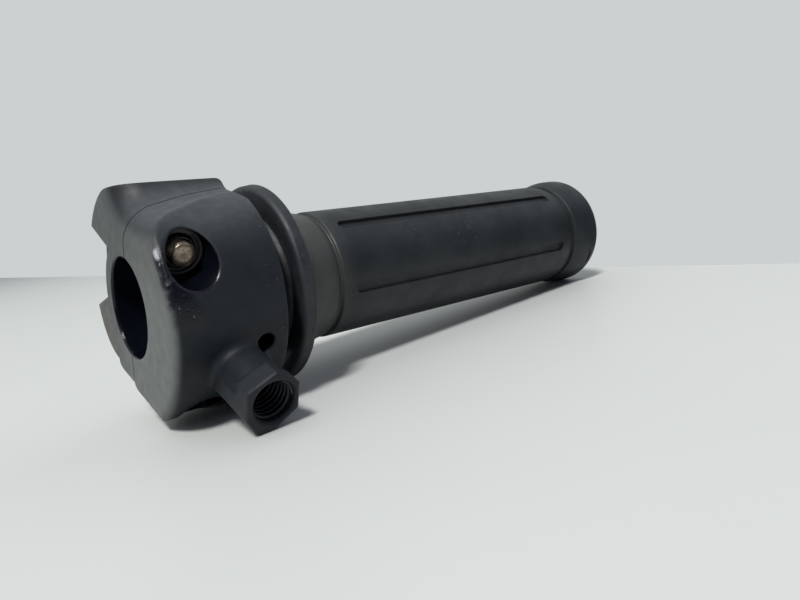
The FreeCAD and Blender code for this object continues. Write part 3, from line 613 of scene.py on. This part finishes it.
def carve(piece, cutter):
    """Cut a shape out of a piece for good, and drop the cutter."""
    modifier = piece.modifiers.new("carve", "BOOLEAN")
    modifier.operation = "DIFFERENCE"
    modifier.solver = "EXACT"
    modifier.use_self = True
    modifier.object = cutter
    bpy.context.view_layer.update()
    carved = bpy.data.meshes.new_from_object(piece.evaluated_get(bpy.context.evaluated_depsgraph_get()))
    piece.modifiers.clear()
    piece.data = carved
    bpy.data.objects.remove(cutter)


def socket_thread(material):
    """The M10 thread inside the cable socket: one ridge wound round the bore's wall."""
    rings = []
    for step in range(int((SOCKET_LAST - SOCKET_FIRST) / SOCKET_PITCH * SOCKET_STEPS) + 1):
        turns = step / SOCKET_STEPS
        middle = SOCKET_FIRST + SOCKET_PITCH * turns
        angle = turns * math.tau
        rings.append([in_socket(angle, radius, middle + shift) for radius, shift in RIDGE_SECTION])
    housing_piece("socket_thread", rings, material)


# ---------------------------------------------------------------- camera, light and floor

# The camera fitted to the photograph: its place in millimetres, the directions in the CAD frame of the
# picture's right and down, and its lens for a sensor so wide.
CAMERA_PLACE = (-38.997, -141.04, 9.86)
PICTURE_RIGHT = (0.7665, -0.6280, -0.1346)
PICTURE_DOWN = (-0.1786, -0.0071, -0.9839)
SENSOR_WIDTH = 36.0
LENS = 28.75
NEAREST_SEEN = 0.01

# The table top, in metres: how far it reaches back from its far edge and how far to either side.
TABLE_DEEP = 3.0
TABLE_HALF_LONG = 5.0
TABLE_EDGE_BEYOND_GRIP = 21.0 * MM
TABLE_EDGE_TURN = math.radians(-4.9)
TABLE_DARK = (0.60, 0.615, 0.61)
TABLE_LIGHT = (0.64, 0.65, 0.645)
# Where the housing's rim and the grip's collar stand on it, along the bar.
RIM_CONTACT = 23.7 * MM
RIM_START = 20.0 * MM
COLLAR_CONTACT_FROM_END = 2.4 * MM
COLLAR_START = 140.0 * MM

ROOM_IN_FRONT = (0.060, 0.072, 0.095)
ROOM_BEHIND = (0.60, 0.63, 0.63)
# Name, place and size in metres, power in watts, and colour.
LAMPS = (
    ("key", (-1.45, -1.10, 2.70), 0.60, 92.0, (1.0, 0.99, 0.96)),
    ("fill", (1.90, -1.20, 2.00), 1.3, 6.0, (0.72, 0.80, 1.0)),
)
LAMPS_AIM = Vector((0.04, 0.0, 0.0))


def make_camera():
    """The photograph's viewpoint, low and to the inboard side of the housing."""
    right = Vector(PICTURE_RIGHT).normalized()
    back = right.cross(-Vector(PICTURE_DOWN)).normalized()
    up = back.cross(right)
    data = bpy.data.cameras.new("camera")
    data.sensor_width = SENSOR_WIDTH
    data.lens = LENS
    data.clip_start = NEAREST_SEEN
    camera = put_in_scene("camera", data)
    turn = Matrix((right, up, back)).transposed().to_4x4()
    camera.matrix_world = Matrix.Translation(Vector(CAMERA_PLACE) * MM) @ turn
    bpy.context.scene.camera = camera


def lowest_beyond(name, along):
    """The height of a node's lowest corner among those further along the bar than a given place."""
    node = frame["nodes"][name]
    places = [node.matrix_world @ corner.co for corner in node.data.vertices]
    return min(place.z for place in places if place.x > along)


def pale_floor():
    """A matt, nearly white table top."""
    material, tree, shader = new_material("pale_floor")
    clouds = speckle(tree, 60.0, 4.0, 0.5)
    colour = blend_colour(tree, clouds, TABLE_DARK, TABLE_LIGHT)
    finish_material(tree, shader, colour, 0.5, relief(tree, clouds, 0.02, 1.0), specular=0.25)
    return material


def make_floor():
    """A pale table top, touching the housing at one end and the grip's collar at the other."""
    _, grip_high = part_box("rubber_grip")
    rim = Vector((RIM_CONTACT, 0.0, lowest_beyond("housing_front", RIM_START)))
    collar_along = grip_high.x - COLLAR_CONTACT_FROM_END
    collar = Vector((collar_along, 0.0, lowest_beyond("rubber_grip", COLLAR_START)))
    slope = math.atan2(collar.z - rim.z, collar.x - rim.x)
    far_edge = collar + Vector((math.cos(slope), 0.0, math.sin(slope))) * TABLE_EDGE_BEYOND_GRIP
    corners = [
        (-TABLE_DEEP, -TABLE_HALF_LONG, 0.0),
        (0.0, -TABLE_HALF_LONG, 0.0),
        (0.0, TABLE_HALF_LONG, 0.0),
        (-TABLE_DEEP, TABLE_HALF_LONG, 0.0),
    ]
    mesh = bpy.data.meshes.new("table_top")
    mesh.from_pydata(corners, [], [(0, 1, 2, 3)])
    mesh.materials.append(pale_floor())
    floor = put_in_scene("table_top", mesh)
    turn = Matrix.Rotation(-slope, 4, "Y") @ Matrix.Rotation(TABLE_EDGE_TURN, 4, "Z")
    floor.matrix_world = Matrix.Translation(far_edge) @ turn


def make_room():
    """A bright room behind and a darker one in front; the camera itself sees only the bright one."""
    world = bpy.data.worlds.new("room")
    bpy.context.scene.world = world
    world.use_nodes = True
    tree = world.node_tree
    sky = tree.nodes["Background"]
    where = add(tree, "TexCoord", {}).outputs["Generated"]
    depth = add(tree, "SeparateXYZ", {"Vector": where}).outputs["Y"]
    lighting = blend_colour(tree, spread(tree, depth, -0.45, 0.12), ROOM_IN_FRONT, ROOM_BEHIND)
    seen = add(tree, "LightPath", {}).outputs["Is Camera Ray"]
    plug(tree, blend_colour(tree, seen, lighting, ROOM_BEHIND), sky.inputs["Color"])
    plug(tree, 1.0, sky.inputs["Strength"])


def make_lamps():
    """A soft key light from the upper left and a weak cool fill from the right."""
    for name, place, size, power, tint in LAMPS:
        data = bpy.data.lights.new(name, "AREA")
        data.size = size
        data.energy = power
        data.color = tint
        lamp = put_in_scene(name, data)
        lamp.location = place
        lamp.rotation_euler = (LAMPS_AIM - lamp.location).to_track_quat("-Z", "Y").to_euler()


# ---------------------------------------------------------------- put it together


def dress_nodes():
    """Give every CAD node the material its slot names, and return the materials by slot."""
    finishes = {
        "cast_black": cast_paint(),
        "moulded_black": moulded_plastic(),
        "grip_rubber": grip_rubber(),
        "nylon": nylon(),
        "screw_steel": tarnished_steel(),
        "zinc_steel": zinc_steel(),
        "insert_steel": oily_steel(),
        "threaded_bore": threaded_paint(),
    }
    for part in frame["record"]["subparts"]:
        node = frame["nodes"][part["node"]]
        node.data.materials.clear()
        node.data.materials.append(finishes[part["material_slot"]])
    return finishes


finishes = dress_nodes()
screw_piece("clamp_screw_upper", UPPER_SCREW, finishes["screw_steel"])
screw_piece("clamp_screw_lower", LOWER_SCREW, finishes["screw_steel"])
socket_thread(finishes["threaded_bore"])
make_floor()
make_room()
make_lamps()
make_camera()
bpy.context.scene.view_settings.view_transform = "Standard"
